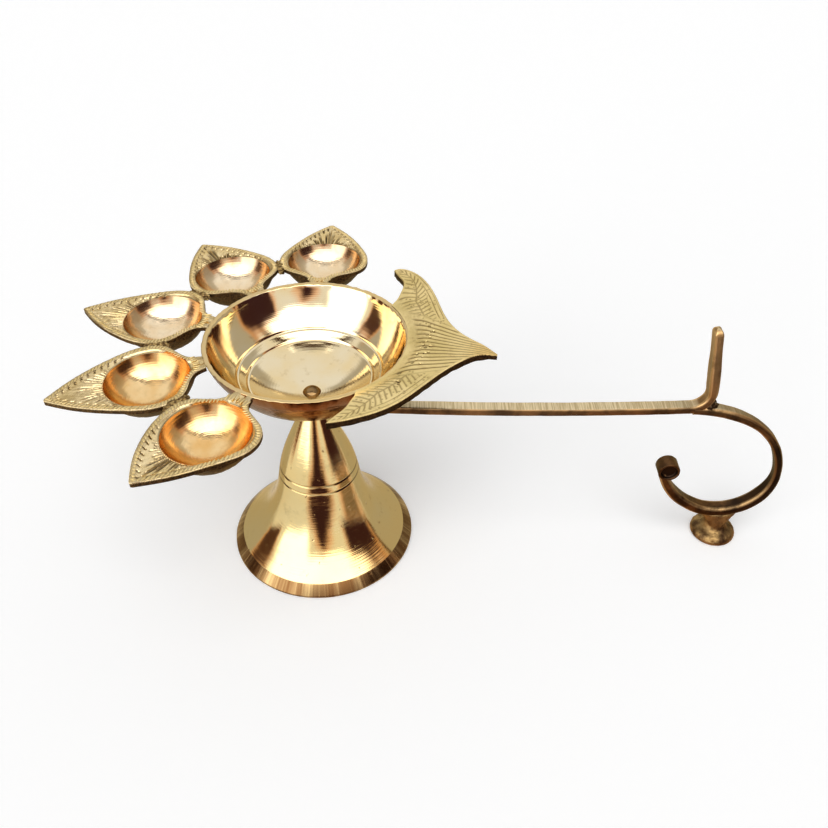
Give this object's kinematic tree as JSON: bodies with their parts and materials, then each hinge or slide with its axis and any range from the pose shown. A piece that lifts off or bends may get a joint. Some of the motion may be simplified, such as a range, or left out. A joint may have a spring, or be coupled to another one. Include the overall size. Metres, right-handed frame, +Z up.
{
  "type": "aarti lamp",
  "caption": "Brass hand-held aarti lamp: a turned bowl with a fan of leaf cups and a fish tail on a bell foot, with a flat-bar side handle, thumb rest and finger scroll.",
  "frame": {"origin": "on the floor below the centre screw, at the middle of the bell foot's base ring", "axes": "+X along the handle from the screw to the thumb rest, +Z up along the screw"},
  "size_m": [0.2928, 0.1711, 0.113],
  "materials": {
    "bowl_brass": "turned and polished brass, rough cast outside",
    "leaf_brass": "cast brass, chased borders and bright turned cups",
    "tail_brass": "cast brass with chased lines, satin",
    "handle_brass": "filed brass strip, aged brown",
    "cast_brass": "rough sand-cast brass",
    "foot_brass": "turned and polished brass",
    "screw_brass": "polished brass screw",
    "zinc_steel": "zinc-plated steel"
  },
  "bodies": {
    "handle": {"handle_bar": "handle_brass", "finger_scroll": "handle_brass", "button_foot": "cast_brass"},
    "dish": {"centre_bowl": "bowl_brass", "leaf_cup_1": "leaf_brass", "leaf_cup_2": "leaf_brass", "leaf_cup_3": "leaf_brass", "leaf_cup_4": "leaf_brass", "leaf_cup_5": "leaf_brass", "tail_plate": "tail_brass", "centre_screw": "screw_brass", "foot_washer": "zinc_steel", "foot_nut": "zinc_steel"},
    "foot": {"bell_foot": "foot_brass"}
  },
  "joints": [
    {"name": "dish_swivel", "type": "hinge", "parent": "handle", "child": "dish", "pos_m": [0, 0, 0.0755], "axis": [0, 0, 1], "continuous": true},
    {"name": "foot_turn", "type": "hinge", "parent": "handle", "child": "foot", "pos_m": [0, 0, 0.0724], "axis": [0, 0, 1], "continuous": true}
  ]
}
